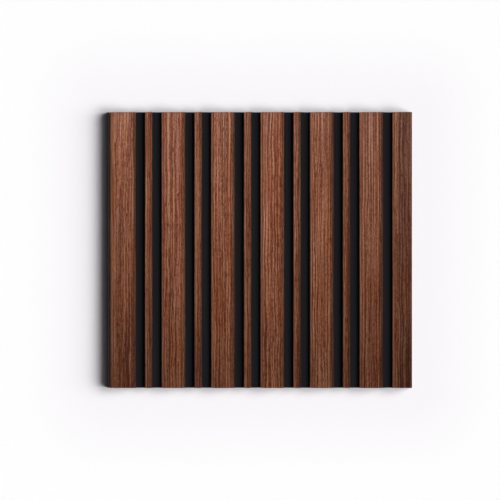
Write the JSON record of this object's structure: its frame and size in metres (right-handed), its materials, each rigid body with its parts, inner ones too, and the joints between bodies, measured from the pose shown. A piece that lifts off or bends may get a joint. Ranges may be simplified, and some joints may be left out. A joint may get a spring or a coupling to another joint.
{
  "type": "polystyrene wall panel",
  "caption": "Slatted wall panel of black extruded foamed polystyrene: wide and narrow slats with eased edges under wood-look film, black grooves between them and a flat back for glue.",
  "frame": {"origin": "middle of the flat back, which is the middle of the bounding box's underside", "axes": "+X across the slats towards the square-cut edge slat, +Y along the slats, +Z out of the visible face"},
  "size_m": [0.3046, 0.276, 0.012],
  "materials": {
    "black_polystyrene": "matte, fine extrusion lines",
    "walnut_film": "satin film printed and embossed as walnut"
  },
  "bodies": {
    "root": {"panel_body": "black_polystyrene", "first_slat_film": "walnut_film", "wide_slat_film_2": "walnut_film", "wide_slat_film_3": "walnut_film", "wide_slat_film_4": "walnut_film", "wide_slat_film_5": "walnut_film", "wide_slat_film_6": "walnut_film", "narrow_slat_film_1": "walnut_film", "narrow_slat_film_2": "walnut_film", "narrow_slat_film_3": "walnut_film", "narrow_slat_film_4": "walnut_film", "narrow_slat_film_5": "walnut_film", "edge_slat_film": "walnut_film"}
  },
  "joints": []
}
